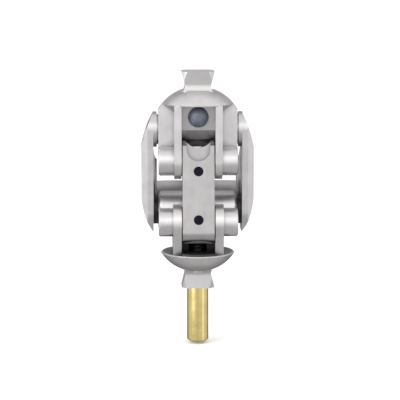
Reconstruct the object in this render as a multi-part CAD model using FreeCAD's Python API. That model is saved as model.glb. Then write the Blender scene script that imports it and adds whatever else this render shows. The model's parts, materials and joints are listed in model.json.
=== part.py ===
"""Four-bar prosthetic knee: a head, two links and a base joined by four axles.

Frame: millimetres, +Z up along the load line, +Y anterior, +X to the right seen from behind.
The origin is the centre of the top face of the upper pyramid.
"""
import FreeCAD, Part
import math
import os

V = FreeCAD.Vector

# ---- driving dimensions -------------------------------------------------------------------
# Pivot axes, all parallel to X, as (y, z)
UPPER_FRONT = (7.0, -35.5)
UPPER_REAR = (-7.0, -53.1)
REAR_PIVOT_DROP = 36.2
LOWER_PIVOT_RISE = 4.3
LOWER_REAR = (-11.0, UPPER_REAR[1] - REAR_PIVOT_DROP)
LOWER_FRONT = (11.0, LOWER_REAR[1] + LOWER_PIVOT_RISE)

# Axles, bushes and washers
AXLE_R = 5.0
BUSH_WALL = 1.4
BUSH_RECESS = 0.2
RUNNING_FIT = 0.03
SEAT_FIT = 0.01
AXLE_END_GAP = 0.6
AXLE_EDGE = 0.5
AXLE_WAIST_DEPTH = 1.0
AXLE_WAIST_HALF = 3.4
SIDE_PLAY = 0.03
WASHER_THICK = 0.54
WASHER_WALL = 4.0
BUSH_R = AXLE_R + BUSH_WALL
CASTING_BORE_R = BUSH_R + SEAT_FIT
AXLE_WAIST_R = AXLE_R - AXLE_WAIST_DEPTH
LINK_WASHER_R = AXLE_R + WASHER_WALL

# Widths across the knee, from the middle outwards
LINK_HALF_WIDTH = 9.4
HEAD_EAR_THICK = 4.2
BASE_EAR_THICK = 5.0
BARREL_HALF_WIDTH = 23.5
BOSS_SHORT = 0.1
SPACER_THICK = 0.9
ARM_GAP = 3.0
ARM_THICK = 7.2
EAR_INNER = LINK_HALF_WIDTH + WASHER_THICK + 2 * SIDE_PLAY
HEAD_EAR_OUTER = EAR_INNER + HEAD_EAR_THICK
BASE_EAR_OUTER = EAR_INNER + BASE_EAR_THICK
BOSS_REACH = BARREL_HALF_WIDTH - BOSS_SHORT
ARM_INNER = BARREL_HALF_WIDTH + ARM_GAP
ARM_OUTER = ARM_INNER + ARM_THICK

# Pyramid adapters, standard size
PYRAMID_HALF = 9.8
PYRAMID_NECK_HALF = 7.75
PYRAMID_NECK_DEPTH = 7.5
PYRAMID_PLINTH_HALF = 9.0
PYRAMID_DEPTH = 11.7
PYRAMID_CORNER_R = 11.7

# Head
HEAD_RIM = 1.7
HEAD_MAX_R = BARREL_HALF_WIDTH + HEAD_RIM
DOME_FLAT = 2.4
DOME_R = HEAD_MAX_R + DOME_FLAT
DOME_TOP_Z = -9.2
DOME_CENTRE_Z = DOME_TOP_Z - DOME_R
DOME_RIM_Z = -19.6
DOME_LIP = 0.5
DOME_UNDERCUT = 0.3
FLARE_DEPTH = 4.2
FLARE_R = 15.3
HEAD_BARREL_R = 10.7
SHOULDER_THICK = 5.5
SHOULDER_LAP = 3.1
SHOULDER_FOOT_Z = UPPER_REAR[1] + SHOULDER_LAP
EAR_R = 10.75
BOSS_WALL = 2.2
HEAD_BOSS_R = BUSH_R + BOSS_WALL
BOSS_EDGE = 0.7
WEB_REAR_Y = -12.0
WEB_STEP_RISE = 18.9
WEB_STEP_Z = UPPER_REAR[1] + WEB_STEP_RISE
WEB_CHAMFER = 5.1
WEB_LEAN = 0.8
BUMPER_RISE = 7.8
BUMPER_Z = WEB_STEP_Z + BUMPER_RISE
BUMPER_R = 6.1
BUMPER_STEM_R = 3.0
BUMPER_STEM_LENGTH = 6.0

# Posterior link
LINK_REAR = 9.2
LINK_FRONT = 8.6
LINK_TOP_R = 13.0
LINK_FOOT_R = 12.6
LINK_HEEL_R = 6.0
LINK_SWEEP_GAP = 0.6
LOBE_R = 4.0
LOBE_DROP = 6.5
LOBE_FORWARD = 9.5
LOBE_HALF_WIDTH = 4.0
RIB_WIDTH = 2.4
POCKET_HALF = LINK_HALF_WIDTH - RIB_WIDTH
POCKET_DEPTH = 3.2
SCALLOP_R = 9.1
SCALLOP_DROP = 5.07
FOOT_ARCH = 1.8
SET_SCREW_R = 2.9
SET_SCREW_SINK = 0.6
SET_SCREW_HEX = 3.0
SET_SCREW_HEX_DEPTH = 2.0
UPPER_SCREW_OFFSET = 6.0
LOWER_SCREW_OFFSET = -1.7

# Anterior link
ARM_TOP_R = 10.7
ARM_FOOT_R = 14.3
ARM_CHAMFER = 3.7
ARM_SHOULDER_MID = (ARM_OUTER - 3.1, UPPER_FRONT[1] + 1.0)
ARM_SHOULDER_Z = UPPER_FRONT[1] - 10.3
ARM_HIP_Z = LOWER_FRONT[1] + 9.0
ARM_HIP_MID = (ARM_OUTER - 2.1, LOWER_FRONT[1] - 1.8)
ARM_TIP_X = ARM_INNER - 1.3
YOKE_REAR_Y = -12.0
YOKE_SIDE_Y = 15.0
YOKE_CORNER_MID = (ARM_OUTER - 2.4, 21.6)
YOKE_CORNER_END = (ARM_OUTER - 10.7, 25.6)
WALL_INNER_Y = 23.2
WALL_OUTER_Y = 28.0
WALL_CORNER_R = 2.7
WALL_TOP_Z = LOWER_FRONT[1] + 15.7
WALL_FOOT_Z = LOWER_FRONT[1] - 5.0
WINDOW_HALF = ARM_INNER - 2.3
ARM_BOSS_R = 10.6
UPPER_SPACER_R = AXLE_R + 4.0
LOWER_SPACER_R = AXLE_R + 3.5
SCREW_HEAD_R = AXLE_R + 1.0
SCREW_HEAD_DEPTH = 2.0
ARM_BOSS_X = BARREL_HALF_WIDTH + SPACER_THICK + 2 * SIDE_PLAY
UPPER_SEAT_X = ARM_BOSS_X + 1.94
LOWER_SEAT_X = ARM_INNER + 1.2
SCREW_SHANK_R = 3.0
SCREW_SHANK_LENGTH = 9.0
SCREW_HEX = 4.0
SCREW_HEX_DEPTH = 1.4

# Base
KNUCKLE_R = 11.4
KNUCKLE_TAPER = 1.4
KNUCKLE_END_STEP = 0.8
BASE_BOSS_WALL = 2.0
BASE_BOSS_R = BUSH_R + BASE_BOSS_WALL
DISH_DROP = 19.2
DISH_Z = LOWER_REAR[1] - DISH_DROP
DISH_R = 22.1
DISH_LIP = 1.4
DISH_EDGE = 0.6
DISH_MID = (0.76, -6.6)
DISH_HOLLOW = 2.2
DISH_NECK_Z = DISH_Z - 10.9
DISH_NECK_R = 8.6
DISH_FLOOR_Z = DISH_Z - DISH_HOLLOW
LOWER_PYRAMID_FACE_Z = DISH_NECK_Z - 10.3
COLUMN_REAR_Y = 2.4
LEG_INSET = 1.79
LEG_SINK = 0.5
LEG_FOOT_Y = math.sqrt((DISH_R - LEG_INSET) ** 2 - BASE_EAR_OUTER ** 2)

# Extension assist
TUBE_R = 6.45
TUBE_WALL = 1.0
TUBE_NECK_WALL = 0.5
TUBE_INSERT = 11.0
TUBE_EDGE = 0.6
TUBE_LENGTH = 33.3
TUBE_INNER_R = TUBE_R - TUBE_WALL
TUBE_NECK_R = TUBE_INNER_R + TUBE_NECK_WALL
TUBE_TOP_Z = LOWER_PYRAMID_FACE_Z + TUBE_INSERT
TUBE_END_Z = LOWER_PYRAMID_FACE_Z - TUBE_LENGTH
SPRING_GAP = 0.55
SPRING_R = TUBE_INNER_R - SPRING_GAP
SPRING_WIRE_R = 0.6
PLUNGER_OVERHANG = 0.3
PLUNGER_R = SPRING_R + PLUNGER_OVERHANG
PLUNGER_HEAD = 1.9
PLUNGER_GAP = 0.15
PLUNGER_EDGE = 0.5
PLUNGER_STEM_R = SPRING_R - 2 * SPRING_WIRE_R - 0.1
PLUNGER_STEM_LENGTH = 16.0
CHANNEL_R = PLUNGER_R + 0.3
GUIDE_TOP_Z = DISH_Z + 1.1
GUIDE_WELL_R = CHANNEL_R + 4.0
GUIDE_WELL_Z = DISH_Z - 1.5
GUIDE_WALL_Z = DISH_Z + 12.0
GUIDE_COLLAR_R = CHANNEL_R + 0.7
GUIDE_GAP = 0.2
ADJUSTER_SINK = 1.5
ADJUSTER_LENGTH = 5.0
ADJUSTER_HEX = 5.0
ADJUSTER_HEX_DEPTH = 3.0

LINK_LENGTH = math.hypot(LOWER_REAR[0] - UPPER_REAR[0], LOWER_REAR[1] - UPPER_REAR[1])
LINK_ALONG = ((LOWER_REAR[0] - UPPER_REAR[0]) / LINK_LENGTH, (LOWER_REAR[1] - UPPER_REAR[1]) / LINK_LENGTH)
LINK_BACK = (LINK_ALONG[1], -LINK_ALONG[0])
LOBE_FOOT_Z = UPPER_REAR[1] + (LINK_LENGTH + LOBE_DROP) * LINK_ALONG[1] - LOBE_FORWARD * LINK_BACK[1] - LOBE_R
PLUNGER_RIM_Y = PLUNGER_EDGE - PLUNGER_R
FOOT_OVER_PLUNGER_Z = LOWER_REAR[1] - math.sqrt(LINK_FOOT_R ** 2 - (PLUNGER_RIM_Y - LOWER_REAR[0]) ** 2)
PLUNGER_TOP_Z = min(LOBE_FOOT_Z, FOOT_OVER_PLUNGER_Z) - PLUNGER_GAP


# ---- shape helpers --------------------------------------------------------------------------
def box(x0, x1, y0, y1, z0, z1):
    """Return a box between two corners."""
    return Part.makeBox(x1 - x0, y1 - y0, z1 - z0, V(x0, y0, z0))


def cylinder_x(centre, radius, x0, x1):
    """Return a cylinder along X about the pivot at centre = (y, z)."""
    return Part.makeCylinder(radius, x1 - x0, V(x0, centre[0], centre[1]), V(1, 0, 0))


def cylinder_z(radius, z0, z1):
    """Return a cylinder about the load line between two heights."""
    return Part.makeCylinder(radius, z1 - z0, V(0, 0, z0), V(0, 0, 1))


def turned_x(centre, profile):
    """Turn a closed outline of (x, radius) points about the pivot at centre."""
    points = [V(x, centre[0] + radius, centre[1]) for x, radius in profile]
    face = Part.Face(Part.makePolygon(points + points[:1]))
    return face.revolve(V(0, centre[0], centre[1]), V(1, 0, 0), 360)


def plate(outline, x0, x1):
    """Extrude an outline of (y, z) points along X."""
    points = [V(x0, y, z) for y, z in outline]
    return Part.Face(Part.makePolygon(points + points[:1])).extrude(V(x1 - x0, 0, 0))


def on_circle(centre, radius, angle):
    """Return the point of a pivot circle at an angle from +Y towards +Z."""
    return V(0, centre[0] + radius * math.cos(angle), centre[1] + radius * math.sin(angle))


def strap(first, first_r, second, second_r, x0, x1):
    """Extrude the tight outline round two circles, like a belt on two pulleys."""
    run_y, run_z = second[0] - first[0], second[1] - first[1]
    heading = math.atan2(run_z, run_y)
    spread = math.acos((first_r - second_r) / math.hypot(run_y, run_z))
    start = [on_circle(first, first_r, heading + turn) for turn in (spread, math.pi, -spread)]
    end = [on_circle(second, second_r, heading + turn) for turn in (-spread, 0.0, spread)]
    edges = [Part.Arc(*start).toShape(), Part.LineSegment(start[2], end[0]).toShape(),
             Part.Arc(*end).toShape(), Part.LineSegment(end[2], start[0]).toShape()]
    solid = Part.Face(Part.Wire(edges)).extrude(V(x1 - x0, 0, 0))
    solid.translate(V(x0, 0, 0))
    return solid


def mirrored(shape):
    """Return the left-hand copy of a right-hand shape."""
    return shape.mirror(V(0, 0, 0), V(1, 0, 0))


def both(shape):
    """Return the shape joined with its mirror image."""
    return shape.fuse(mirrored(shape))


def fused(shapes):
    """Fuse a list of shapes and drop the seams between them."""
    return shapes[0].fuse(shapes[1:]).removeSplitter()


def ring_x(centre, inner, outer, x0, x1):
    """Return a flat ring about a pivot."""
    return cylinder_x(centre, outer, x0, x1).cut(cylinder_x(centre, inner, x0 - 1, x1 + 1))


def hex_socket(across, depth):
    """Return a hexagonal socket that opens at z = 0 and goes down."""
    corner = across / math.sqrt(3)
    points = [V(corner * math.cos(k * math.pi / 3), corner * math.sin(k * math.pi / 3), -depth)
              for k in range(7)]
    return Part.Face(Part.makePolygon(points)).extrude(V(0, 0, depth + 1))


def boss_x(centre, radius, x0, x1, edge):
    """Return a boss along +X whose outer edge is bevelled."""
    return turned_x(centre, [(x0, 0), (x0, radius), (x1 - edge, radius), (x1, radius - edge), (x1, 0)])


def pyramid():
    """Return the upper male pyramid with its flared plinth, its top face at z = 0."""
    neck = -PYRAMID_NECK_DEPTH
    flare_mid = (PYRAMID_NECK_HALF + 0.25, neck - 0.6 * (PYRAMID_DEPTH - PYRAMID_NECK_DEPTH))
    seat = -PYRAMID_DEPTH - 2

    def slab():
        def side(sign):
            flare = Part.Arc(V(sign * PYRAMID_NECK_HALF, 0, neck), V(sign * flare_mid[0], 0, flare_mid[1]),
                             V(sign * PYRAMID_PLINTH_HALF, 0, -PYRAMID_DEPTH)).toShape()
            taper = Part.makeLine(V(sign * PYRAMID_HALF, 0, 0), V(sign * PYRAMID_NECK_HALF, 0, neck))
            foot = Part.makeLine(V(sign * PYRAMID_PLINTH_HALF, 0, -PYRAMID_DEPTH),
                                 V(sign * PYRAMID_PLINTH_HALF, 0, seat))
            return [taper, flare, foot]
        top = Part.makeLine(V(-PYRAMID_HALF, 0, 0), V(PYRAMID_HALF, 0, 0))
        base = Part.makeLine(V(-PYRAMID_PLINTH_HALF, 0, seat), V(PYRAMID_PLINTH_HALF, 0, seat))
        wire = Part.Wire(Part.__sortEdges__([top, base] + side(1) + side(-1)))
        solid = Part.Face(wire).extrude(V(0, 60, 0))
        solid.translate(V(0, -30, 0))
        return solid

    across = slab()
    along = slab()
    along.rotate(V(0, 0, 0), V(0, 0, 1), 90)
    corners = cylinder_z(PYRAMID_CORNER_R, seat - 1, 1)
    return across.common(along).common(corners)


# ---- head -----------------------------------------------------------------------------------
def head_envelope(drop):
    """Return the space the head is turned from, a ball over a cylinder, lowered by drop."""
    centre = DOME_CENTRE_Z - drop
    bullet = Part.makeSphere(DOME_R, V(0, 0, centre)).fuse(cylinder_z(DOME_R, centre - 40, centre))
    return bullet.common(cylinder_z(HEAD_MAX_R, centre - 40, centre + DOME_R))


def head_body():
    """Return the head casting."""
    cap = Part.makeSphere(DOME_R, V(0, 0, DOME_CENTRE_Z)).common(
        box(-40, 40, -40, 40, DOME_RIM_Z, -PYRAMID_DEPTH + 0.4))
    rim = [edge for edge in cap.Edges if edge.BoundBox.ZLength < 0.01
           and abs(edge.BoundBox.ZMin - DOME_RIM_Z) < 0.01]
    cap = cap.makeChamfer(DOME_LIP, rim)

    shoulder_rear = UPPER_FRONT[0] - HEAD_BARREL_R
    shoulder_front = UPPER_FRONT[0] + HEAD_BARREL_R
    roof = DOME_RIM_Z + 3
    core = box(-BARREL_HALF_WIDTH, BARREL_HALF_WIDTH, shoulder_rear, shoulder_front, UPPER_FRONT[1], roof)
    barrel = cylinder_x(UPPER_FRONT, HEAD_BARREL_R, -BARREL_HALF_WIDTH, BARREL_HALF_WIDTH)
    shoulder = box(EAR_INNER, BARREL_HALF_WIDTH, shoulder_rear, shoulder_rear + SHOULDER_THICK,
                   SHOULDER_FOOT_Z, UPPER_FRONT[1])
    upper = fused([core, barrel, both(shoulder)]).common(head_envelope(0))
    rim_r = math.sqrt(DOME_R ** 2 - (DOME_RIM_Z - DOME_CENTRE_Z) ** 2) - DOME_LIP
    flare = Part.makeCone(FLARE_R, rim_r, FLARE_DEPTH, V(0, 0, DOME_RIM_Z - FLARE_DEPTH))
    flare = flare.common(box(HEAD_EAR_OUTER - 1, BARREL_HALF_WIDTH, -40, UPPER_FRONT[0], -40, 0))

    ear_rear = UPPER_REAR[0] - EAR_R
    ear = plate([(ear_rear, roof), (ear_rear, UPPER_REAR[1]), (UPPER_REAR[0], UPPER_REAR[1]),
                 UPPER_FRONT, (shoulder_front, UPPER_FRONT[1]), (shoulder_front, roof)],
                EAR_INNER, HEAD_EAR_OUTER)
    ear = ear.fuse(strap(UPPER_REAR, EAR_R, UPPER_FRONT, HEAD_BARREL_R, EAR_INNER, HEAD_EAR_OUTER))
    web_foot = (WEB_REAR_Y + WEB_CHAMFER * WEB_LEAN, WEB_STEP_Z - WEB_CHAMFER)
    web = plate([(WEB_REAR_Y, roof), (WEB_REAR_Y, WEB_STEP_Z), web_foot,
                 (UPPER_FRONT[0], web_foot[1]), (shoulder_front, UPPER_FRONT[1]), (shoulder_front, roof)],
                -EAR_INNER, EAR_INNER)
    lower = fused([both(ear), web]).common(head_envelope(DOME_UNDERCUT))
    boss = boss_x(UPPER_REAR, HEAD_BOSS_R, EAR_INNER + 1, BOSS_REACH, BOSS_EDGE)
    body = fused([cap, pyramid(), upper, both(flare), lower, both(boss)])

    sweep = cylinder_x(UPPER_REAR, LINK_TOP_R + LINK_SWEEP_GAP, -EAR_INNER, EAR_INNER)
    slot_under = box(-EAR_INNER, EAR_INNER, -40, UPPER_REAR[0],
                     UPPER_REAR[1] - 30, WEB_STEP_Z - WEB_CHAMFER - 3)
    bores = [cylinder_x(pivot, CASTING_BORE_R, -40, 40) for pivot in (UPPER_FRONT, UPPER_REAR)]
    stem = Part.makeCylinder(BUMPER_STEM_R, BUMPER_STEM_LENGTH + 1,
                             V(0, WEB_REAR_Y - 1, BUMPER_Z), V(0, 1, 0))
    return body.cut([sweep, slot_under, stem] + bores)


def flexion_bumper():
    """Return the rubber button: a half ball with a stem pressed into the web."""
    centre = V(0, WEB_REAR_Y, BUMPER_Z)
    ball = Part.makeSphere(BUMPER_R, centre, V(0, -1, 0), 0, 90, 360)
    stem = Part.makeCylinder(BUMPER_STEM_R - SEAT_FIT, BUMPER_STEM_LENGTH, centre, V(0, 1, 0))
    return ball.fuse(stem).removeSplitter()


def bush(pivot, x0, x1):
    """Return a right-hand plain bush in a casting bore."""
    return ring_x(pivot, AXLE_R + RUNNING_FIT, BUSH_R, x0, x1)


# ---- posterior link -------------------------------------------------------------------------
def link_point(along, back, x=0.0):
    """Return the point at a distance down the pivot line and behind it."""
    return V(x, UPPER_REAR[0] + along * LINK_ALONG[0] + back * LINK_BACK[0],
             UPPER_REAR[1] + along * LINK_ALONG[1] + back * LINK_BACK[1])


def link_drill(radius, along, back0, back1):
    """Return a cylinder square to the pivot line, from one depth to another."""
    axis = link_point(0, 1) - link_point(0, 0)
    return Part.makeCylinder(radius, back1 - back0, link_point(along, back0), axis)


def posterior_link():
    """Return the rear link."""
    top_rear = -math.sqrt(LINK_TOP_R ** 2 - LINK_REAR ** 2)
    top_front = -math.sqrt(LINK_TOP_R ** 2 - LINK_FRONT ** 2)
    heel_back = LINK_REAR - LINK_HEEL_R
    heel_along = math.sqrt((LINK_FOOT_R - LINK_HEEL_R) ** 2 - heel_back ** 2)
    reach = LINK_FOOT_R / (LINK_FOOT_R - LINK_HEEL_R)
    heel_end = (heel_along * reach, heel_back * reach)
    heel_turn = 0.5 * math.atan2(heel_along, heel_back)
    heel_mid = (heel_along + LINK_HEEL_R * math.sin(heel_turn), heel_back + LINK_HEEL_R * math.cos(heel_turn))
    foot_front = math.sqrt(LINK_FOOT_R ** 2 - LINK_FRONT ** 2)
    length = LINK_LENGTH
    corners = [link_point(top_rear, LINK_REAR), link_point(length + heel_along, LINK_REAR),
               link_point(length + heel_end[0], heel_end[1]), link_point(length + foot_front, -LINK_FRONT),
               link_point(top_front, -LINK_FRONT)]
    edges = [Part.makeLine(corners[0], corners[1]),
             Part.Arc(corners[1], link_point(length + heel_mid[0], heel_mid[1]), corners[2]).toShape(),
             Part.Arc(corners[2], link_point(length + LINK_FOOT_R, 0), corners[3]).toShape(),
             Part.makeLine(corners[3], corners[4]),
             Part.Arc(corners[4], link_point(-LINK_TOP_R, 0), corners[0]).toShape()]
    body = Part.Face(Part.Wire(edges)).extrude(V(2 * LINK_HALF_WIDTH, 0, 0))
    body.translate(V(-LINK_HALF_WIDTH, 0, 0))
    lobe_centre = link_point(length + LOBE_DROP, -LOBE_FORWARD)
    lobe_root = link_point(length + 2, -2)
    lobe = strap((lobe_centre.y, lobe_centre.z), LOBE_R, (lobe_root.y, lobe_root.z), LOBE_R + 3,
                 -LOBE_HALF_WIDTH, LOBE_HALF_WIDTH)
    body = body.fuse(lobe).removeSplitter()

    floor = LINK_REAR - POCKET_DEPTH
    pocket = link_drill(POCKET_HALF, -POCKET_HALF, floor, floor + 20)
    slot = Part.Face(Part.makePolygon([link_point(-POCKET_HALF, floor, -POCKET_HALF),
                                       link_point(-POCKET_HALF, floor, POCKET_HALF),
                                       link_point(-30, floor, POCKET_HALF),
                                       link_point(-30, floor, -POCKET_HALF),
                                       link_point(-POCKET_HALF, floor, -POCKET_HALF)]))
    slot = slot.extrude((link_point(0, 1) - link_point(0, 0)) * 20)
    scallop = link_drill(SCALLOP_R, -LINK_TOP_R + SCALLOP_DROP - SCALLOP_R, -20, 20)
    arch_r = (LINK_HALF_WIDTH ** 2 + FOOT_ARCH ** 2) / (2 * FOOT_ARCH)
    arch = link_drill(arch_r, length + LINK_FOOT_R - FOOT_ARCH + arch_r, 0, 20)
    bores = [cylinder_x(pivot, AXLE_R + SEAT_FIT, -20, 20) for pivot in (UPPER_REAR, LOWER_REAR)]
    screws = [link_drill(SET_SCREW_R + SEAT_FIT, along, 0, 20) for along in set_screw_places()]
    return body.cut([pocket, slot, scallop, arch] + bores + screws)


def set_screw_places():
    """Return how far down the link each set screw sits."""
    return [UPPER_SCREW_OFFSET, LINK_LENGTH + LOWER_SCREW_OFFSET]


def set_screw(along):
    """Return a socket set screw that bears on the waist of its axle."""
    tip = AXLE_WAIST_R + 2 * RUNNING_FIT
    head = LINK_REAR - SET_SCREW_SINK
    screw = Part.makeCylinder(SET_SCREW_R, head - tip)
    socket = hex_socket(SET_SCREW_HEX, SET_SCREW_HEX_DEPTH)
    socket.translate(V(0, 0, head - tip))
    screw = screw.cut(socket)
    axis = link_point(0, 1) - link_point(0, 0)
    screw.Placement = FreeCAD.Placement(link_point(along, tip), FreeCAD.Rotation(V(0, 0, 1), axis))
    return screw


def posterior_axle(pivot):
    """Return an axle with a waist for its set screw and bevelled ends."""
    end = BOSS_REACH - AXLE_END_GAP
    shoulder = AXLE_WAIST_HALF + AXLE_R - AXLE_WAIST_R
    half = [(AXLE_WAIST_HALF, AXLE_WAIST_R), (shoulder, AXLE_R), (end - AXLE_EDGE, AXLE_R),
            (end, AXLE_R - AXLE_EDGE)]
    profile = [(-end, 0)] + [(-x, r) for x, r in reversed(half)] + half + [(end, 0)]
    return turned_x(pivot, profile)


def thrust_washer(pivot):
    """Return the right-hand bronze washer between the rear link and an ear."""
    return ring_x(pivot, AXLE_R + RUNNING_FIT, LINK_WASHER_R,
                  LINK_HALF_WIDTH + SIDE_PLAY, EAR_INNER - SIDE_PLAY)


# ---- anterior link --------------------------------------------------------------------------
def yoke_plan(z0, z1):
    """Return the outer plan of the yoke, a rounded U closed at the front."""
    chamfer_y = UPPER_FRONT[0] - ARM_TOP_R + 1.0
    corner = V(ARM_OUTER, YOKE_SIDE_Y, z0)
    front_corner = V(YOKE_CORNER_END[0], YOKE_CORNER_END[1], z0)
    mid = V(YOKE_CORNER_MID[0], YOKE_CORNER_MID[1], z0)

    def flip(point):
        return V(-point.x, point.y, point.z)
    run = [V(ARM_OUTER - ARM_CHAMFER, YOKE_REAR_Y, z0), V(ARM_OUTER - ARM_CHAMFER, chamfer_y, z0),
           V(ARM_OUTER, chamfer_y + ARM_CHAMFER, z0), corner]
    edges = [Part.makeLine(run[k], run[k + 1]) for k in range(3)]
    edges += [Part.makeLine(flip(run[k]), flip(run[k + 1])) for k in range(3)]
    edges += [Part.Arc(corner, mid, front_corner).toShape(),
              Part.Arc(flip(corner), flip(mid), flip(front_corner)).toShape(),
              Part.Arc(front_corner, V(0, WALL_OUTER_Y, z0), flip(front_corner)).toShape(),
              Part.makeLine(run[0], flip(run[0]))]
    return Part.Face(Part.Wire(Part.__sortEdges__(edges))).extrude(V(0, 0, z1 - z0))


def yoke_front():
    """Return the outline seen from the front, with shoulders and hips that draw in."""
    top_z = UPPER_FRONT[1] + ARM_TOP_R
    foot_z = LOWER_FRONT[1] - ARM_FOOT_R
    right = [V(ARM_INNER, -40, top_z), V(ARM_SHOULDER_MID[0], -40, ARM_SHOULDER_MID[1]),
             V(ARM_OUTER, -40, ARM_SHOULDER_Z), V(ARM_OUTER, -40, ARM_HIP_Z),
             V(ARM_HIP_MID[0], -40, ARM_HIP_MID[1]), V(ARM_TIP_X, -40, foot_z)]

    def side(sign):
        points = [V(sign * p.x, p.y, p.z) for p in right]
        return [Part.Arc(*points[:3]).toShape(), Part.makeLine(points[2], points[3]),
                Part.Arc(*points[3:]).toShape()], points
    right_edges, right_points = side(1)
    left_edges, left_points = side(-1)
    edges = right_edges + left_edges + [Part.makeLine(right_points[0], left_points[0]),
                                        Part.makeLine(right_points[5], left_points[5])]
    return Part.Face(Part.Wire(Part.__sortEdges__(edges))).extrude(V(0, 80, 0))


def anterior_link():
    """Return the one-piece yoke."""
    brow = (WALL_OUTER_Y - ARM_FOOT_R, WALL_FOOT_Z + ARM_FOOT_R - 1)
    side = fused([strap(UPPER_FRONT, ARM_TOP_R, LOWER_FRONT, ARM_FOOT_R, -40, 40),
                  strap(UPPER_FRONT, ARM_TOP_R, brow, ARM_FOOT_R, -40, 40),
                  strap(LOWER_FRONT, ARM_FOOT_R, brow, ARM_FOOT_R, -40, 40)])
    body = side.common(yoke_plan(-110, -10)).common(yoke_front())
    channel = box(-ARM_INNER, ARM_INNER, -40, WALL_INNER_Y, -110, -10)
    corners = [edge for edge in channel.Edges if abs(edge.CenterOfMass.y - WALL_INNER_Y) < 0.01
               and edge.BoundBox.ZLength > 50]
    channel = channel.makeFillet(WALL_CORNER_R, corners)
    window = box(-WINDOW_HALF, WINDOW_HALF, 0, 60, WALL_TOP_Z, -10)
    sill = box(-60, 60, WALL_INNER_Y, 60, -120, WALL_FOOT_Z)
    body = body.cut([channel, window, sill])
    boss = cylinder_x(UPPER_FRONT, ARM_BOSS_R, ARM_BOSS_X, ARM_INNER + 0.5)
    body = fused([body, both(boss)])
    cuts = []
    for pivot, seat in ((UPPER_FRONT, UPPER_SEAT_X), (LOWER_FRONT, LOWER_SEAT_X)):
        cuts.append(cylinder_x(pivot, AXLE_R + SEAT_FIT, -40, 40))
        cuts.append(both(cylinder_x(pivot, SCREW_HEAD_R + RUNNING_FIT, seat, 40)))
    return body.cut(cuts)


def axle_screw(pivot, seat, shank_from, shank_r):
    """Return a right-hand low-head screw that sits at seat, its shank running in to shank_from."""
    head_end = seat + SCREW_HEAD_DEPTH
    screw = turned_x(pivot, [(shank_from, 0), (shank_from, shank_r), (seat, shank_r),
                             (seat, SCREW_HEAD_R), (head_end - AXLE_EDGE, SCREW_HEAD_R),
                             (head_end, SCREW_HEAD_R - AXLE_EDGE), (head_end, 0)])
    socket = hex_socket(SCREW_HEX, SCREW_HEX_DEPTH)
    socket.Placement = FreeCAD.Placement(V(head_end, pivot[0], pivot[1]),
                                         FreeCAD.Rotation(V(0, 0, 1), V(1, 0, 0)))
    return screw.cut(socket)


def anterior_axle(pivot, end):
    """Return a bar with a hole in each end for an axle screw."""
    axle = turned_x(pivot, [(-end, 0), (-end, AXLE_R - AXLE_EDGE), (AXLE_EDGE - end, AXLE_R),
                            (end - AXLE_EDGE, AXLE_R), (end, AXLE_R - AXLE_EDGE), (end, 0)])
    hole = cylinder_x(pivot, SCREW_SHANK_R + SEAT_FIT, end - SCREW_SHANK_LENGTH - 1, end + 1)
    return axle.cut([hole, mirrored(hole)])


# ---- base -----------------------------------------------------------------------------------
def dish():
    """Return the dish and its neck, turned about the load line, its underside in short cones."""
    under = Part.Arc(V(DISH_R, 0, DISH_Z - DISH_EDGE), V(DISH_MID[0] * DISH_R, 0, DISH_Z + DISH_MID[1]),
                     V(DISH_NECK_R, 0, DISH_NECK_Z)).toShape().discretize(8)
    points = [V(0, 0, DISH_FLOOR_Z), V(BASE_EAR_OUTER, 0, DISH_FLOOR_Z), V(DISH_R - DISH_LIP, 0, DISH_Z),
              V(DISH_R - DISH_EDGE, 0, DISH_Z)] + under
    points += [V(DISH_NECK_R, 0, DISH_NECK_Z - 1), V(0, 0, DISH_NECK_Z - 1)]
    return Part.Face(Part.makePolygon(points + points[:1])).revolve(V(0, 0, 0), V(0, 0, 1), 360)


def link_sweeps():
    """Return the space the foot and the lobe of the rear link turn through."""
    foot = cylinder_x(LOWER_REAR, LINK_FOOT_R + LINK_SWEEP_GAP, -EAR_INNER, EAR_INNER)
    reach = math.hypot(LOBE_DROP, LOBE_FORWARD) + LOBE_R + LINK_SWEEP_GAP
    side = LOBE_HALF_WIDTH + LINK_SWEEP_GAP
    lobe = cylinder_x(LOWER_REAR, reach, -side, side).common(
        box(-side, side, -60, 60, LOWER_REAR[1] - reach, LOWER_REAR[1] - LOBE_DROP + LOBE_R))
    return [foot, lobe]


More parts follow.
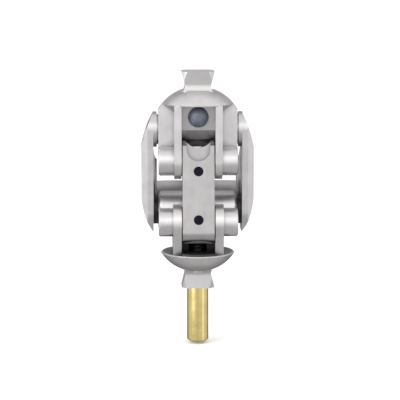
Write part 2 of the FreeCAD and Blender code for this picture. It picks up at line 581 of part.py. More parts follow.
def base_body():
    """Return the base casting."""
    end = BARREL_HALF_WIDTH
    knuckle_end_r = KNUCKLE_R - KNUCKLE_END_STEP
    knuckle = turned_x(LOWER_FRONT, [(-end, 0), (-end, knuckle_end_r), (KNUCKLE_TAPER - end, KNUCKLE_R),
                                     (end - KNUCKLE_TAPER, KNUCKLE_R), (end, knuckle_end_r), (end, 0)])
    sole = DISH_FLOOR_Z - LEG_SINK
    knuckle_front = (LOWER_FRONT[0] + KNUCKLE_R - 0.6, LOWER_FRONT[1] - 3.0)
    ear = cylinder_x(LOWER_REAR, EAR_R, EAR_INNER, BASE_EAR_OUTER)
    leg = plate([(LOWER_REAR[0] - EAR_R, LOWER_REAR[1]), (-LEG_FOOT_Y, sole), (LEG_FOOT_Y, sole),
                 knuckle_front, LOWER_FRONT], EAR_INNER, BASE_EAR_OUTER)
    column = plate([(COLUMN_REAR_Y, LOWER_FRONT[1]), (COLUMN_REAR_Y, sole), (LEG_FOOT_Y, sole),
                    knuckle_front, LOWER_FRONT], -EAR_INNER - 0.5, EAR_INNER + 0.5)
    boss = boss_x(LOWER_REAR, BASE_BOSS_R, EAR_INNER + 1, BOSS_REACH, BOSS_EDGE)
    foot = pyramid().mirror(V(0, 0, 0), V(0, 0, 1))
    foot.translate(V(0, 0, LOWER_PYRAMID_FACE_Z))
    body = fused([knuckle, both(ear.fuse(leg)), column, both(boss), dish(), foot])
    bores = [cylinder_x(pivot, CASTING_BORE_R, -40, 40) for pivot in (LOWER_FRONT, LOWER_REAR)]
    channel = cylinder_z(CHANNEL_R, TUBE_TOP_Z, DISH_FLOOR_Z)
    collar_bore = cylinder_z(GUIDE_COLLAR_R + GUIDE_GAP, DISH_FLOOR_Z, GUIDE_WALL_Z + GUIDE_GAP)
    tube_bore = cylinder_z(TUBE_NECK_R + SEAT_FIT, LOWER_PYRAMID_FACE_Z - 1, TUBE_TOP_Z)
    return body.cut([channel, collar_bore, tube_bore] + link_sweeps() + bores)


def spring_guide():
    """Return the black insert that lines the space between the ears."""
    side = EAR_INNER - GUIDE_GAP
    front = COLUMN_REAR_Y - GUIDE_GAP
    rim = DISH_R - DISH_LIP - GUIDE_GAP
    points = [V(0, 0, DISH_FLOOR_Z), V(BASE_EAR_OUTER - GUIDE_GAP, 0, DISH_FLOOR_Z), V(rim, 0, DISH_Z),
              V(rim - 0.6, 0, GUIDE_TOP_Z), V(0, 0, GUIDE_TOP_Z)]
    disc = Part.Face(Part.makePolygon(points + points[:1])).revolve(V(0, 0, 0), V(0, 0, 1), 360)
    tray = disc.common(box(-side, side, -DISH_R, front, DISH_FLOOR_Z, GUIDE_TOP_Z))
    tray = tray.cut(cylinder_z(GUIDE_WELL_R, GUIDE_WELL_Z, GUIDE_TOP_Z + 1))
    wall = box(-side, side, 0, front, DISH_FLOOR_Z, GUIDE_WALL_Z)
    collar = cylinder_z(GUIDE_COLLAR_R, DISH_FLOOR_Z, GUIDE_WALL_Z).common(
        box(-side, side, 0, side, DISH_FLOOR_Z, GUIDE_WALL_Z))
    bore = cylinder_z(CHANNEL_R, DISH_FLOOR_Z - 1, GUIDE_WALL_Z + 1)
    return fused([tray, wall, collar]).cut([bore] + link_sweeps())


def spring_tube():
    """Return the brass tube, with a thinner neck that sits in the base."""
    shoulder = LOWER_PYRAMID_FACE_Z - SEAT_FIT
    points = [V(TUBE_INNER_R, 0, TUBE_TOP_Z), V(TUBE_NECK_R, 0, TUBE_TOP_Z), V(TUBE_NECK_R, 0, shoulder),
              V(TUBE_R, 0, shoulder), V(TUBE_R, 0, TUBE_END_Z + TUBE_EDGE),
              V(TUBE_R - TUBE_EDGE, 0, TUBE_END_Z), V(TUBE_INNER_R, 0, TUBE_END_Z)]
    return Part.Face(Part.makePolygon(points + points[:1])).revolve(V(0, 0, 0), V(0, 0, 1), 360)


def spring_plunger():
    """Return the cap that rides on the spring, with a stem down inside the coils."""
    under = PLUNGER_TOP_Z - PLUNGER_HEAD
    head = cylinder_z(PLUNGER_R, under, PLUNGER_TOP_Z)
    rim = [edge for edge in head.Edges if edge.CenterOfMass.z > PLUNGER_TOP_Z - 0.01]
    head = head.makeChamfer(PLUNGER_EDGE, rim)
    return head.fuse(cylinder_z(PLUNGER_STEM_R, under - PLUNGER_STEM_LENGTH, under)).removeSplitter()


def preload_adjuster():
    """Return the plug in the end of the tube, with a hex socket."""
    foot = TUBE_END_Z + ADJUSTER_SINK
    plug = cylinder_z(TUBE_INNER_R - SEAT_FIT, foot, foot + ADJUSTER_LENGTH)
    socket = hex_socket(ADJUSTER_HEX, ADJUSTER_HEX_DEPTH)
    socket = socket.mirror(V(0, 0, 0), V(0, 0, 1))
    socket.translate(V(0, 0, foot))
    return plug.cut(socket)


def extension_spring():
    """Return the sleeve of space that the coil spring fills, from the plunger to the adjuster."""
    top = PLUNGER_TOP_Z - PLUNGER_HEAD - RUNNING_FIT
    foot = TUBE_END_Z + ADJUSTER_SINK + ADJUSTER_LENGTH + RUNNING_FIT
    return cylinder_z(SPRING_R, foot, top).cut(cylinder_z(SPRING_R - 2 * SPRING_WIRE_R, foot - 1, top + 1))


# ---- assembly -------------------------------------------------------------------------------
def pair(name, shape):
    """Return a right-hand shape and its mirror image under left and right names."""
    return {name + "_right": shape, name + "_left": mirrored(shape)}


def build():
    """Return every sub-part by name."""
    ear_bush = (EAR_INNER + BUSH_RECESS, BOSS_REACH - BUSH_RECESS)
    barrel_bush = (BARREL_HALF_WIDTH / 2, BARREL_HALF_WIDTH - BUSH_RECESS)
    spacer_in = BARREL_HALF_WIDTH + SIDE_PLAY
    parts = {"head_body": head_body(), "flexion_bumper": flexion_bumper()}
    parts.update(pair("upper_anterior_bush", bush(UPPER_FRONT, *barrel_bush)))
    parts.update(pair("upper_posterior_bush", bush(UPPER_REAR, *ear_bush)))

    parts["posterior_link"] = posterior_link()
    for name, pivot, place in zip(("upper", "lower"), (UPPER_REAR, LOWER_REAR), set_screw_places()):
        parts[name + "_set_screw"] = set_screw(place)
        parts[name + "_posterior_axle"] = posterior_axle(pivot)
        parts.update(pair(name + "_thrust_washer", thrust_washer(pivot)))

    parts["anterior_link"] = anterior_link()
    parts["upper_anterior_axle"] = anterior_axle(UPPER_FRONT, UPPER_SEAT_X - SIDE_PLAY)
    parts.update(pair("upper_axle_screw", axle_screw(UPPER_FRONT, UPPER_SEAT_X,
                                                     UPPER_SEAT_X - SCREW_SHANK_LENGTH, SCREW_SHANK_R)))
    parts.update(pair("lower_axle_screw", axle_screw(LOWER_FRONT, LOWER_SEAT_X, spacer_in, AXLE_R)))
    parts.update(pair("upper_spacer", ring_x(UPPER_FRONT, AXLE_R + SEAT_FIT, UPPER_SPACER_R,
                                             spacer_in, spacer_in + SPACER_THICK)))
    parts.update(pair("lower_spacer", ring_x(LOWER_FRONT, AXLE_R + SEAT_FIT, LOWER_SPACER_R,
                                             spacer_in, ARM_INNER)))

    parts["base_body"] = base_body()
    parts["lower_anterior_axle"] = anterior_axle(LOWER_FRONT, BARREL_HALF_WIDTH - SIDE_PLAY)
    parts.update(pair("lower_anterior_bush", bush(LOWER_FRONT, *barrel_bush)))
    parts.update(pair("lower_posterior_bush", bush(LOWER_REAR, *ear_bush)))
    parts["spring_guide"] = spring_guide()
    parts["spring_tube"] = spring_tube()
    parts["preload_adjuster"] = preload_adjuster()
    parts["extension_spring"] = extension_spring()
    parts["spring_plunger"] = spring_plunger()
    return parts


def main():
    """Write one STEP file for each sub-part."""
    os.makedirs("parts", exist_ok=True)
    for name, shape in build().items():
        shape.exportStep("parts/%s.step" % name)
        print("%-28s solids %d valid %s volume %.1f"
              % (name, len(shape.Solids), shape.isValid(), shape.Volume))


main()
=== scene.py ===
"""Looks for a four-bar prosthetic knee, its spring assist and a pale studio."""

import json
import logging
import math
from dataclasses import dataclass, field
from enum import Enum
from typing import Any, ClassVar

import bmesh
import bpy
from mathutils import Matrix, Vector


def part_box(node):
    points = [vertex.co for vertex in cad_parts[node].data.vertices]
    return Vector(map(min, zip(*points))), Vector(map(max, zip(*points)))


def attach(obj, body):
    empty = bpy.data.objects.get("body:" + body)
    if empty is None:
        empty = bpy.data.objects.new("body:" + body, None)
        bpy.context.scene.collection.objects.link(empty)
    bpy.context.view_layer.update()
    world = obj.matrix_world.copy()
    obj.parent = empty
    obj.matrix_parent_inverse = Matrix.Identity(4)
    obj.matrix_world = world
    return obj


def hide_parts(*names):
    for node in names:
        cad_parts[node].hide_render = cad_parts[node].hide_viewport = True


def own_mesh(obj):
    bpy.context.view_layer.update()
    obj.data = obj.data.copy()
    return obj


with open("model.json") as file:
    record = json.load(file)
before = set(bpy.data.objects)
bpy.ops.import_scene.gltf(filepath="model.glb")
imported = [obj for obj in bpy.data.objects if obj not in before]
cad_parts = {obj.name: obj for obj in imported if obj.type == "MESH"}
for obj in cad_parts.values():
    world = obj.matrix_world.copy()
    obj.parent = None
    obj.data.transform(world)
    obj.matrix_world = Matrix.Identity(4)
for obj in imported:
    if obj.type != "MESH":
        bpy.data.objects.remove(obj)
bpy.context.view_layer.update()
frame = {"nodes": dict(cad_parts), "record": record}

LOG = logging.getLogger("knee")
MM = 0.001
MICRON = 1e-6
Colour = tuple[float, float, float]
Place = tuple[float, float, float]


class Lay(Enum):
    """Direction in which a tool has left its fine lines on a surface."""

    TURNED = "turned"      # rings about the pivot axes: every line has one x
    MILLED = "milled"      # lines across the knee, along x
    AXIAL = "axial"        # rings about the load line: every line has one z
    NONE = "none"


# ---- shader expressions ----------------------------------------------------------------------
MIX_FACTOR, MIX_FIRST, MIX_SECOND = 0, 6, 7    # a Mix node's inputs for colours
MIX_COLOUR = 2                                 # its output for them


class Term:
    """A socket that can stand in a Python expression.

    Args:
        shader: The shader whose tree the socket is in.
        socket: The output socket that gives the value.
    """

    def __init__(self, shader: "Shader", socket: bpy.types.NodeSocket) -> None:
        self.shader = shader
        self.socket = socket

    def _with(self, operation: str, first: Any, second: Any) -> "Term":
        """Return a Math node's result for two operands."""
        node = self.shader.node("ShaderNodeMath", {"operation": operation}, {0: first, 1: second})
        return Term(self.shader, node.outputs["Value"])

    def __add__(self, other: Any) -> "Term":
        """Return self + other."""
        return self._with("ADD", self, other)

    def __radd__(self, other: Any) -> "Term":
        """Return other + self."""
        return self._with("ADD", other, self)

    def __sub__(self, other: Any) -> "Term":
        """Return self - other."""
        return self._with("SUBTRACT", self, other)

    def __rsub__(self, other: Any) -> "Term":
        """Return other - self."""
        return self._with("SUBTRACT", other, self)

    def __mul__(self, other: Any) -> "Term":
        """Return self * other."""
        return self._with("MULTIPLY", self, other)

    def __rmul__(self, other: Any) -> "Term":
        """Return other * self."""
        return self._with("MULTIPLY", other, self)

    def __pow__(self, other: Any) -> "Term":
        """Return self raised to other."""
        return self._with("POWER", self, other)

    def __abs__(self) -> "Term":
        """Return the size of self, without its sign."""
        return self._with("ABSOLUTE", self, 0.0)

    def above(self, low: float, high: float) -> "Term":
        """Return a mask that rises smoothly from 0 at low to 1 at high.

        Args:
            low: The value at which the mask is 0.
            high: The value at which the mask is 1.

        Returns:
            The mask.
        """
        settings = {"interpolation_type": "SMOOTHSTEP", "clamp": True}
        node = self.shader.node("ShaderNodeMapRange", settings,
                                {"Value": self, "From Min": low, "From Max": high})
        return Term(self.shader, node.outputs["Result"])


class Shader:
    """A node tree with short ways to fill it.

    Args:
        tree: The tree.
        place: Name of the coordinates that x, y and z are taken from.
    """

    def __init__(self, tree: bpy.types.NodeTree, place: str) -> None:
        self.tree = tree
        self.tree.nodes.clear()
        self.place = self.node("ShaderNodeTexCoord").outputs[place]
        split = self.node("ShaderNodeSeparateXYZ", {}, {0: self.place})
        self.x, self.y, self.z = (Term(self, split.outputs[axis]) for axis in range(3))

    def node(self, kind: str, settings: dict[str, Any] | None = None,
             sockets: dict[Any, Any] | None = None) -> bpy.types.Node:
        """Add one node.

        Args:
            kind: The node's type.
            settings: Properties, set before the sockets.
            sockets: A value, a Term or an output socket for each input, by name or number.

        Returns:
            The node.
        """
        node = self.tree.nodes.new(kind)
        for key, value in (settings or {}).items():
            setattr(node, key, value)
        for key, value in (sockets or {}).items():
            if isinstance(value, Term):
                value = value.socket
            if isinstance(value, bpy.types.NodeSocket):
                self.tree.links.new(value, node.inputs[key])
            else:
                node.inputs[key].default_value = value
        return node

    def noise(self, scale: Place | float, detail: float, rough: float) -> Term:
        """Return noise in object space.

        Args:
            scale: Cycles per metre, one for all directions or one for each.
            detail: Number of octaves.
            rough: Weight of each finer octave.

        Returns:
            The noise, from 0 to 1.
        """
        spread = scale if isinstance(scale, tuple) else (scale, scale, scale)
        mapping = self.node("ShaderNodeMapping", {}, {"Vector": self.place, "Scale": spread})
        texture = self.node("ShaderNodeTexNoise", {},
                            {"Vector": mapping.outputs["Vector"], "Scale": 1.0,
                             "Detail": detail, "Roughness": rough})
        return Term(self, texture.outputs["Fac"])

    def blend(self, factor: Any, first: Any, second: Any) -> bpy.types.NodeSocket:
        """Return a mix of two colours.

        Args:
            factor: How much of the second colour there is, from 0 to 1.
            first: The first colour, as a tuple or an output socket.
            second: The second colour.

        Returns:
            The socket that gives the mix.
        """
        low, high = ((*colour, 1.0) if isinstance(colour, tuple) else colour
                     for colour in (first, second))
        node = self.node("ShaderNodeMix", {"data_type": "RGBA"},
                         {MIX_FACTOR: factor, MIX_FIRST: low, MIX_SECOND: high})
        return node.outputs[MIX_COLOUR]


class Surface(Shader):
    """A material with one Principled BSDF.

    Args:
        name: The material's name.
    """

    CORNER: tuple[float, float] = (0.25, 0.85)     # openness of a corner and of an open face

    def __init__(self, name: str) -> None:
        self.material = bpy.data.materials.new(name)
        self.material.use_nodes = True
        super().__init__(self.material.node_tree, "Object")
        self.shell = self.node("ShaderNodeBsdfPrincipled")
        output = self.node("ShaderNodeOutputMaterial")
        self.tree.links.new(self.shell.outputs["BSDF"], output.inputs["Surface"])

    def bump(self, height: Term, distance: float, strength: float = 1.0) -> None:
        """Feed a height into the surface's normal.

        Args:
            height: The height.
            distance: What a height of 1 stands for, in metres.
            strength: Weight of the bump.
        """
        node = self.node("ShaderNodeBump", {},
                         {"Height": height, "Distance": distance, "Strength": strength})
        self.tree.links.new(node.outputs["Normal"], self.shell.inputs["Normal"])

    def crevice(self, reach: float) -> Term:
        """Return a mask for painted shade: 1 in the open, falling in corners narrower than reach.
        """
        node = self.node("ShaderNodeAmbientOcclusion", {"samples": 8}, {"Distance": reach})
        return Term(self, node.outputs["AO"]).above(*self.CORNER)

    def feed(self, **inputs: Any) -> None:
        """Set or link the shell's sockets, named with _ for a space."""
        for name, value in inputs.items():
            socket = self.shell.inputs[name.replace("_", " ")]
            if isinstance(value, Term):
                value = value.socket
            if isinstance(value, bpy.types.NodeSocket):
                self.tree.links.new(value, socket)
            elif isinstance(value, tuple):
                socket.default_value = (*value, 1.0)
            else:
                socket.default_value = value


# ---- finishes --------------------------------------------------------------------------------
FAR = 1.0                  # beyond every piece, in metres
LAY_SCALE: dict[Lay, Place] = {
    Lay.TURNED: (1900.0, 40.0, 40.0),
    Lay.MILLED: (35.0, 1700.0, 1700.0),
    Lay.AXIAL: (50.0, 50.0, 3000.0),
    Lay.NONE: (900.0, 900.0, 900.0),
}


def toned(colour: Colour, tone: float) -> Colour:
    """Return a colour with every channel multiplied by tone."""
    red, green, blue = colour
    return (red * tone, green * tone, blue * tone)


@dataclass(frozen=True)
class ShadeZone:
    """A space, the same left and right, in which a metal gets painted shade.

    Attributes:
        low: Distance from the middle, y and z at which it starts, in metres.
        high: Distance from the middle, y and z at which it ends.
        tone: How much of the metal's shade colour is left there, as painted shade.
        radius: Distance from the load line at which it ends.
        edge: Width over which it fades.
    """

    low: Place
    high: Place
    tone: float
    radius: float = FAR
    edge: float = 0.15 * MM

    def mask(self, shader: Surface) -> Term:
        """Return a mask for the zone.

        Args:
            shader: The material that it is for.

        Returns:
            The mask, 1 inside.
        """
        away = (shader.x * shader.x + shader.y * shader.y) ** 0.5
        inside = 1.0 - away.above(self.radius - self.edge, self.radius)
        for place, low, high in zip((abs(shader.x), shader.y, shader.z), self.low, self.high):
            start = place.above(low - self.edge, low)
            inside = inside * start * (1.0 - place.above(high, high + self.edge))
        return inside


@dataclass(frozen=True)
class Metal:
    """A bare metal with a grain, a tool's lay, clouds of tone, and painted shade in corners and
    in set zones.

    The constants give each noise's cycles per metre, octaves and weight of the finer octaves,
    the span of the noise over which the tone changes, the share that the clouds have in it, and
    how far the clouds and the fine lines change the roughness.

    Attributes:
        name: The material's name.
        colour: Colour of the clean metal.
        shade: Colour of the duller clouds, also the base colour of the painted shade in corners
            and in the shade zone.
        roughness: Middle roughness.
        grain: Depth of the blasted grain, in metres.
        lay: Direction of the fine lines.
        lines: Depth of the fine lines, in metres.
        corner_shade: How much of the colour is left in a corner, darkened as painted shade.
        milled_from: Height above which the lines run across instead, in metres.
        milled_below: Height below which the lines run across instead.
        milled_within: Distance from the middle within which the lines run across instead.
        milled_tone: How much of the colour the milled faces have.
        milled_rough: How much rougher the milled faces are.
        shade_zone: Where the metal is darkened as painted shade.
        milled_edge: Width over which the milled faces fade.
        corner_reach: Width of the corners that get painted shade.
    """

    CLOUD: ClassVar[Place] = (140.0, 4.0, 0.55)
    GRAIN: ClassVar[Place] = (5200.0, 3.0, 0.6)
    LINE: ClassVar[tuple[float, float]] = (3.0, 0.6)
    TONE: ClassVar[tuple[float, float]] = (0.3, 0.72)
    CLOUD_SHARE: ClassVar[float] = 0.65
    CLOUD_ROUGH: ClassVar[float] = 0.14
    LINE_ROUGH: ClassVar[float] = 0.12

    name: str
    colour: Colour
    shade: Colour
    roughness: float
    grain: float = 0.0
    lay: Lay = Lay.NONE
    lines: float = 0.0
    corner_shade: float = 1.0
    milled_from: float | None = None
    milled_below: float | None = None
    milled_within: float | None = None
    milled_tone: float = 1.0
    milled_rough: float = 0.0
    shade_zone: ShadeZone | None = None
    milled_edge: float = 0.3 * MM
    corner_reach: float = 5.0 * MM

    def milled(self, shader: Surface) -> list[Term]:
        """Return a mask for each milled zone.

        Args:
            shader: The material that they are for.

        Returns:
            The masks, 1 where the metal is milled.
        """
        masks = []
        edge = self.milled_edge
        if self.milled_from is not None:
            masks.append(shader.z.above(self.milled_from, self.milled_from + edge))
        if self.milled_below is not None:
            masks.append(1.0 - shader.z.above(self.milled_below - edge, self.milled_below))
        if self.milled_within is not None:
            beside = abs(shader.x).above(self.milled_within - edge, self.milled_within)
            masks.append(1.0 - beside)
        return masks

    def streaks(self, shader: Surface) -> Term:
        """Return the fine lines, which change direction where the metal is milled.

        Args:
            shader: The material that they are for.

        Returns:
            The lines, from 0 to 1.
        """
        lines = shader.noise(LAY_SCALE[self.lay], *self.LINE)
        for mask in self.milled(shader):
            across = shader.noise(LAY_SCALE[Lay.MILLED], *self.LINE)
            lines = lines + (across - lines) * mask
        return lines

    def material(self) -> bpy.types.Material:
        """Return the material."""
        shader = Surface(self.name)
        cloud = shader.noise(*self.CLOUD)
        grain = shader.noise(*self.GRAIN)
        streak = self.streaks(shader)
        tone = cloud * self.CLOUD_SHARE + streak * (1.0 - self.CLOUD_SHARE)
        colour = shader.blend(tone.above(*self.TONE), self.shade, self.colour)
        if self.milled_tone < 1.0:
            for mask in self.milled(shader):
                colour = shader.blend(mask, colour, toned(self.colour, self.milled_tone))
        # Painted shade inside the shade zone.
        if self.shade_zone is not None:
            colour = shader.blend(self.shade_zone.mask(shader), colour, toned(self.shade, self.shade_zone.tone))
        # Painted shade: corners found by ambient occlusion darken towards the shade colour.
        if self.corner_shade < 1.0:
            clear = shader.crevice(self.corner_reach)
            colour = shader.blend(clear, toned(self.shade, self.corner_shade), colour)
        roughness = self.roughness + (cloud - 0.5) * self.CLOUD_ROUGH
        roughness = roughness + (streak - 0.5) * self.LINE_ROUGH
        if self.milled_rough > 0.0:
            for mask in self.milled(shader):
                roughness = roughness + mask * self.milled_rough
        shader.feed(Base_Color=colour, Metallic=1.0, Roughness=roughness)
        shader.bump(grain * self.grain + streak * self.lines, 1.0)
        return shader.material


@dataclass(frozen=True)
class Moulded:
    """A moulded plastic or rubber.

    The constants give each noise as Metal's do, the span over which the film shows, and how far
    the patches change the roughness.

    Attributes:
        name: The material's name.
        colour: Base colour.
        bloom: Colour of the paler film that lies on it in patches.
        roughness: Middle roughness.
        coat: Weight of the glossy skin.
        texture: Depth of the mould's texture, in metres.
    """

    PATCH: ClassVar[Place] = (260.0, 4.0, 0.6)
    SKIN: ClassVar[Place] = (2400.0, 2.0, 0.5)
    BLOOM: ClassVar[tuple[float, float]] = (0.35, 0.8)
    PATCH_ROUGH: ClassVar[float] = 0.2

    name: str
    colour: Colour
    bloom: Colour
    roughness: float
    coat: float
    texture: float

    def material(self) -> bpy.types.Material:
        """Return the material."""
        shader = Surface(self.name)
        patch = shader.noise(*self.PATCH)
        skin = shader.noise(*self.SKIN)
        colour = shader.blend(patch.above(*self.BLOOM), self.colour, self.bloom)
        roughness = self.roughness + (patch - 0.5) * self.PATCH_ROUGH
        shader.feed(Base_Color=colour, Roughness=roughness, Coat_Weight=self.coat,
                    Coat_Roughness=0.2)
        shader.bump(skin * self.texture + patch * self.texture, 1.0)
        return shader.material


STEEL: Colour = (0.60, 0.585, 0.585)
STEEL_SHADE: Colour = (0.52, 0.505, 0.51)
# Painted shade: the web under the dome's lip, the rear link's foot and the dish's inside beside
# the ears.
WEB_SHADE = ShadeZone((-FAR, -12.2 * MM, -34.4 * MM), (9.9 * MM, FAR, -19.0 * MM), tone=0.64)
TOE_SHADE = ShadeZone((-FAR, -FAR, -FAR), (FAR, FAR, -100.4 * MM), tone=0.04)
DISH_SHADE = ShadeZone((15.1 * MM, -FAR, -110.95 * MM), (FAR, FAR, -108.5 * MM), tone=0.3,
            radius=20.85 * MM)
HEAD_STEEL = Metal("head_steel", STEEL, STEEL_SHADE, 0.38, grain=5.0 * MICRON,
                   lay=Lay.TURNED, lines=3.0 * MICRON, corner_shade=0.6,
                   milled_from=-12.2 * MM, milled_tone=0.9, milled_rough=0.16, shade_zone=WEB_SHADE)
LINK_STEEL = Metal("link_steel", (0.43, 0.415, 0.418), (0.37, 0.357, 0.36), 0.36,
                   grain=4.0 * MICRON, lay=Lay.TURNED, lines=3.0 * MICRON, corner_shade=0.6, shade_zone=TOE_SHADE)
YOKE_STEEL = Metal("yoke_steel", (0.54, 0.527, 0.53), (0.47, 0.456, 0.46), 0.33,
                   grain=4.0 * MICRON, lay=Lay.TURNED, lines=3.0 * MICRON,
                   milled_within=24.0 * MM)
BASE_STEEL = Metal("base_steel", STEEL, STEEL_SHADE, 0.38, grain=5.0 * MICRON,
                   lay=Lay.TURNED, lines=3.0 * MICRON, corner_shade=0.6,
                   milled_below=-119.0 * MM, milled_tone=0.66, milled_rough=0.12, shade_zone=DISH_SHADE)
GROUND_STEEL = Metal("ground_steel", (0.66, 0.66, 0.66), (0.56, 0.56, 0.56), 0.24,
                     grain=1.0 * MICRON, lay=Lay.TURNED, lines=3.0 * MICRON, corner_shade=0.5)
BLACK_STEEL = Metal("black_steel", (0.020, 0.020, 0.028), (0.008, 0.008, 0.011), 0.28,
                    grain=3.0 * MICRON)
BRONZE = Metal("bronze", (0.40, 0.25, 0.13), (0.26, 0.155, 0.08), 0.34,
               grain=5.0 * MICRON, lay=Lay.TURNED, lines=3.0 * MICRON, corner_shade=0.3)
BRASS = Metal("brass", (0.69, 0.56, 0.25), (0.60, 0.475, 0.20), 0.16,
              grain=1.0 * MICRON, lay=Lay.AXIAL, lines=2.0 * MICRON)
BLACK_PLASTIC = Moulded("black_plastic", (0.004, 0.004, 0.006), (0.008, 0.008, 0.011),
                        roughness=0.5, coat=0.0, texture=8.0 * MICRON)
RUBBER = Moulded("rubber", (0.050, 0.056, 0.080), (0.09, 0.10, 0.13),
                 roughness=0.5, coat=0.15, texture=12.0 * MICRON)

FINISH_OF_SLOT: dict[str, Metal | Moulded] = {
    "ground_steel": GROUND_STEEL, "black_steel": BLACK_STEEL, "bronze": BRONZE,
    "brass": BRASS, "black_plastic": BLACK_PLASTIC, "rubber": RUBBER,
}


def dress(piece: bpy.types.Object, material: bpy.types.Material) -> None:
    """Give an object one material, in place of any that it has."""
    piece.data.materials.clear()
    piece.data.materials.append(material)


# ---- castings --------------------------------------------------------------------------------
@dataclass
class Casting:
    """A CAD casting shown with eased edges.

    Attributes:
        node: The CAD node that the casting stands for.
        body: The body that it rides on.
        name: The new piece's name.
        finish: Its metal.
        ease: Width of the eased edges, in metres.
        corner: Least turn of an edge that gets eased, in degrees.
        crease: Least turn of an edge that stays sharp to the light, in degrees.
        flat: Turn below which neighbouring faces are made one, in degrees.
        weld: Distance below which corners are made one, in metres.
        weight: How far the large faces set the shading, in percent.
    """

    node: str
    body: str
    name: str
    finish: Metal
    ease: float = 0.3 * MM
    corner: float = 30.0
    crease: float = 40.0
    flat: float = 0.4
    weld: float = 2.0 * MICRON
    weight: int = 80

    def build(self) -> bpy.types.Object:
        """Return a merged copy of the node with a bevel on every sharp edge."""
        mesh = frame["nodes"][self.node].data.copy()
        mesh.name = self.name
        work = bmesh.new()
        work.from_mesh(mesh)
        bmesh.ops.remove_doubles(work, verts=work.verts, dist=self.weld)
        bmesh.ops.dissolve_limit(work, angle_limit=math.radians(self.flat),
                                 verts=work.verts, edges=work.edges)
        turn = math.radians(self.corner)
        sharp = [edge for edge in work.edges
                 if len(edge.link_faces) == 2 and edge.calc_face_angle(0.0) > turn]
        bmesh.ops.bevel(work, geom=sharp, offset=self.ease, offset_type="OFFSET", segments=2,
                        profile=0.5, affect="EDGES", material=-1, clamp_overlap=True,
                        loop_slide=True)
        for face in work.faces:
            face.smooth = True
        work.to_mesh(mesh)
        work.free()
        mesh.materials.clear()
        mesh.set_sharp_from_angle(angle=math.radians(self.crease))
        piece = bpy.data.objects.new(self.name, mesh)
        bpy.context.scene.collection.objects.link(piece)
        level = piece.modifiers.new("flat_faces", "WEIGHTED_NORMAL")
        level.mode = "FACE_AREA"
        level.weight = self.weight
        level.keep_sharp = True
        return piece

    def dress(self, piece: bpy.types.Object) -> None:
        """Give the casting its finish and put it on its body."""
        dress(piece, self.finish.material())
        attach(piece, self.body)
        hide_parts(self.node)
        LOG.info("%s rides on %s", self.name, self.body)


@dataclass
class ReturnSpring:
    """The coil spring between the plunger and the adjuster.

    Attributes:
        wire: Radius of the wire.
        pitch: Rise of one turn.
        closed: Rise of the closed turn at each end.
        steps: Divisions of a turn.
        sides: Divisions round the wire.
    """

    wire: float = 0.6 * MM
    pitch: float = 2.45 * MM
    closed: float = 1.25 * MM
    steps: int = 28
    sides: int = 8

    def build(self) -> bpy.types.Object:
        """Return the coil, turned step by step from the bottom."""
        low, high = (Vector(corner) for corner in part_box("extension_spring"))
        radius = high.x - self.wire
        foot = low.z + self.wire
        turns = (high.z - self.wire - foot - 2.0 * self.closed) / self.pitch
        work = bmesh.new()
        ring = bmesh.ops.create_circle(work, segments=self.sides, radius=self.wire,
                                       cap_ends=True)["verts"]
        upright = Matrix.Rotation(math.pi / 2.0, 3, "X")
        bmesh.ops.rotate(work, verts=ring, cent=(0.0, 0.0, 0.0), matrix=upright)
        bmesh.ops.translate(work, verts=ring, vec=(radius, 0.0, foot))
        end: list[Any] = list(work.faces) + list(work.edges) + list(work.verts)
        for count, rise in ((1.0, self.closed), (turns, self.pitch), (1.0, self.closed)):
            steps = max(1, round(count * self.steps))
            end = bmesh.ops.spin(work, geom=end, cent=(0.0, 0.0, 0.0), axis=(0.0, 0.0, 1.0),
                                 dvec=(0.0, 0.0, count * rise / steps),
                                 angle=count * math.tau, steps=steps,
                                 use_merge=False, use_duplicate=False)["geom_last"]
        bmesh.ops.recalc_face_normals(work, faces=work.faces)
        for face in work.faces:
            face.smooth = len(face.verts) == 4
        return finished(work, "extension_coil")

    def dress(self, piece: bpy.types.Object) -> None:
        """Give the coil its finish and put it on the base."""
        dress(piece, BLACK_STEEL.material())
        low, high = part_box("extension_spring")
        travel = next(joint["range_m"][1] for joint in frame["record"]["behaviour"]["joints"]
                      if joint["name"] == "plunger_travel")
        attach(piece, "base")
        1.0 - travel / (high[2] - low[2])
        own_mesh(piece)
        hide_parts("extension_spring")
        LOG.info("extension_coil rides on base")


def finished(work: bmesh.types.BMesh, name: str) -> bpy.types.Object:
    """Turn a bmesh into a linked object.

    Args:
        work: The bmesh, which is freed.
        name: The object's name.

    Returns:
        The object.
    """
    mesh = bpy.data.meshes.new(name)
    work.to_mesh(mesh)
    work.free()
    piece = bpy.data.objects.new(name, mesh)
    bpy.context.scene.collection.objects.link(piece)
    return piece


@dataclass
class Hardware:
    """The CAD nodes that keep their shape and get a finish by their slot.

    Attributes:
        materials: The material that was made for each slot.
    """

    materials: dict[str, bpy.types.Material] = field(default_factory=dict)

    def dress(self, skip: set[str]) -> None:
        """Give each node its slot's finish, leaving out the replaced ones.

        Args:
            skip: Names of nodes that another piece stands for.
        """
        for part in frame["record"]["subparts"]:
            node, slot = part["node"], part["material_slot"]
            if node in skip:
                continue
            if slot not in self.materials:
                self.materials[slot] = FINISH_OF_SLOT[slot].material()
            dress(frame["nodes"][node], self.materials[slot])
            LOG.info("%s is dressed as %s", node, slot)


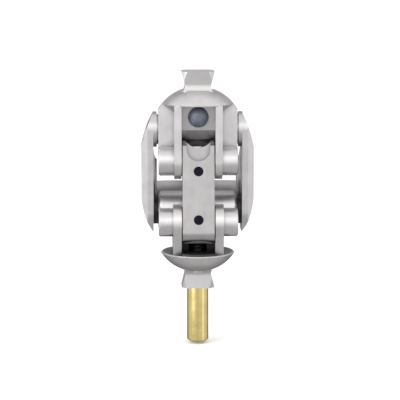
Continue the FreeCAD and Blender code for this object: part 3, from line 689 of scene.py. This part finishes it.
# ---- studio ----------------------------------------------------------------------------------
@dataclass(frozen=True)
class Lamp:
    """A soft rectangular lamp that faces the knee.

    Attributes:
        name: The lamp's name.
        azimuth: Its turn about the knee, from behind towards the right, in degrees.
        height: Its height above the aim, in metres.
        distance: Its distance from the load line.
        size: Its width and height.
        power: Its power, in watts.
    """

    name: str
    azimuth: float
    height: float
    distance: float
    size: tuple[float, float]
    power: float

    def build(self, aim: float) -> None:
        """Create the lamp.

        Args:
            aim: Height of the point that it faces.
        """
        data = bpy.data.lights.new(self.name, "AREA")
        data.shape = "RECTANGLE"
        data.size, data.size_y = self.size
        data.energy = self.power
        lamp = bpy.data.objects.new(self.name, data)
        turn = math.radians(self.azimuth)
        lamp.location = (self.distance * math.sin(turn), -self.distance * math.cos(turn),
                         aim + self.height)
        look = Vector((0.0, 0.0, aim)) - lamp.location
        lamp.rotation_euler = look.to_track_quat("-Z", "Y").to_euler()
        lamp.visible_camera = False
        bpy.context.scene.collection.objects.link(lamp)


@dataclass(frozen=True)
class Fade:
    """A change of the sky's light from one direction to another.

    Attributes:
        start: Cosine to the axis at which it starts.
        end: Cosine at which it is full.
        size: How much of the light it takes or gives.
    """

    start: float
    end: float
    size: float

    def over(self, axis: Term) -> Term:
        """Return the change along an axis."""
        return axis.above(self.start, self.end) * self.size


@dataclass
class Studio:
    """A pale cove, soft lights and the camera.

    Attributes:
        distance: Camera's distance behind the knee, in metres.
        azimuth: Camera's turn about the load line, in degrees.
        height: Camera's height above the top of the knee, in metres.
        aim: Height at which the camera looks.
        lens: Focal length, in millimetres.
        shift: Sideways shift of the frame.
        near: Distance from which the camera sees, in metres.
        floor: Height of the floor.
        reach: Half the floor's width.
        pale: Colour of the floor.
        light: Strength of the light from all round.
        rise: Light gained from below up to the horizon.
        top: Light lost towards the zenith.
        rear: Light lost straight behind the camera.
        front: Light lost in front of the knee.
        lamps: The lamps.
    """

    distance: float = 1.064
    azimuth: float = -1.8
    height: float = 0.084
    aim: float = -0.0776
    lens: float = 161.4
    shift: float = 0.0058
    near: float = 0.01
    floor: float = -0.165
    reach: float = 6.0
    pale: Colour = (0.96, 0.96, 0.96)
    light: float = 1.68
    rise: Fade = Fade(-0.35, 0.05, 0.6)
    top: Fade = Fade(0.25, 0.8, 0.25)
    rear: Fade = Fade(0.95, 0.985, 0.2)
    front: Fade = Fade(0.15, 0.8, 0.7)
    lamps: tuple[Lamp, ...] = (
        Lamp("left", -50.0, 0.2, 0.9, (0.7, 0.9), 6.0),
        Lamp("right", 60.0, 0.1, 1.0, (0.4, 0.9), 0.7),
        Lamp("back", -6.0, 0.75, 1.1, (1.2, 0.6), 1.2),
    )

    def camera(self) -> None:
        """Create the scene's camera."""
        data = bpy.data.cameras.new("camera")
        data.lens = self.lens
        data.shift_x = self.shift
        data.clip_start = self.near
        camera = bpy.data.objects.new("camera", data)
        turn = math.radians(self.azimuth)
        spot = Vector((self.distance * math.sin(turn), -self.distance * math.cos(turn),
                       self.height))
        look = Vector((0.0, 0.0, self.aim)) - spot
        camera.location = spot
        camera.rotation_euler = look.to_track_quat("-Z", "Y").to_euler()
        bpy.context.scene.collection.objects.link(camera)
        bpy.context.scene.camera = camera

    def cove(self) -> None:
        """Create the floor, which the metal doesn't mirror."""
        work = bmesh.new()
        bmesh.ops.create_grid(work, x_segments=1, y_segments=1, size=self.reach)
        bmesh.ops.translate(work, verts=work.verts, vec=(0.0, 0.0, self.floor))
        floor = finished(work, "floor")
        floor.visible_glossy = False
        shader = Surface("pale_floor")
        shader.feed(Base_Color=self.pale, Roughness=0.9)
        dress(floor, shader.material)

    def sky(self) -> None:
        """Create the soft light, dimmer below, above, in front and right behind the camera."""
        world = bpy.data.worlds.new("studio")
        world.use_nodes = True
        shader = Shader(world.node_tree, "Generated")
        level = self.rise.over(shader.z) + (1.0 - self.rise.size)
        level = level * (1.0 - self.top.over(shader.z))
        level = level * (1.0 - self.rear.over(0.0 - shader.y))
        level = level * (1.0 - self.front.over(shader.y))
        back = shader.node("ShaderNodeBackground", {},
                           {"Color": (1.0, 1.0, 1.0, 1.0), "Strength": level * self.light})
        output = shader.node("ShaderNodeOutputWorld")
        shader.tree.links.new(back.outputs["Background"], output.inputs["Surface"])
        bpy.context.scene.world = world

    def build(self) -> None:
        """Create everything that isn't the knee."""
        self.camera()
        self.cove()
        self.sky()
        for lamp in self.lamps:
            lamp.build(self.aim)
        bpy.context.scene.view_settings.view_transform = "Standard"


# ---- the whole -------------------------------------------------------------------------------
CASTINGS = [
    Casting("head_body", "head", "head_casting", HEAD_STEEL),
    Casting("posterior_link", "posterior_link", "rear_link_casting", LINK_STEEL),
    Casting("anterior_link", "anterior_link", "yoke_casting", YOKE_STEEL),
    Casting("base_body", "base", "base_casting", BASE_STEEL),
]


def main() -> None:
    """Build the knee's looks and the studio, in order."""
    logging.basicConfig(level=logging.INFO, format="%(name)s: %(message)s")
    Studio().build()
    spring = ReturnSpring()
    spring.dress(spring.build())
    for casting in CASTINGS:
        casting.dress(casting.build())
    Hardware().dress({casting.node for casting in CASTINGS} | {"extension_spring"})


if __name__ == "__main__":
    main()
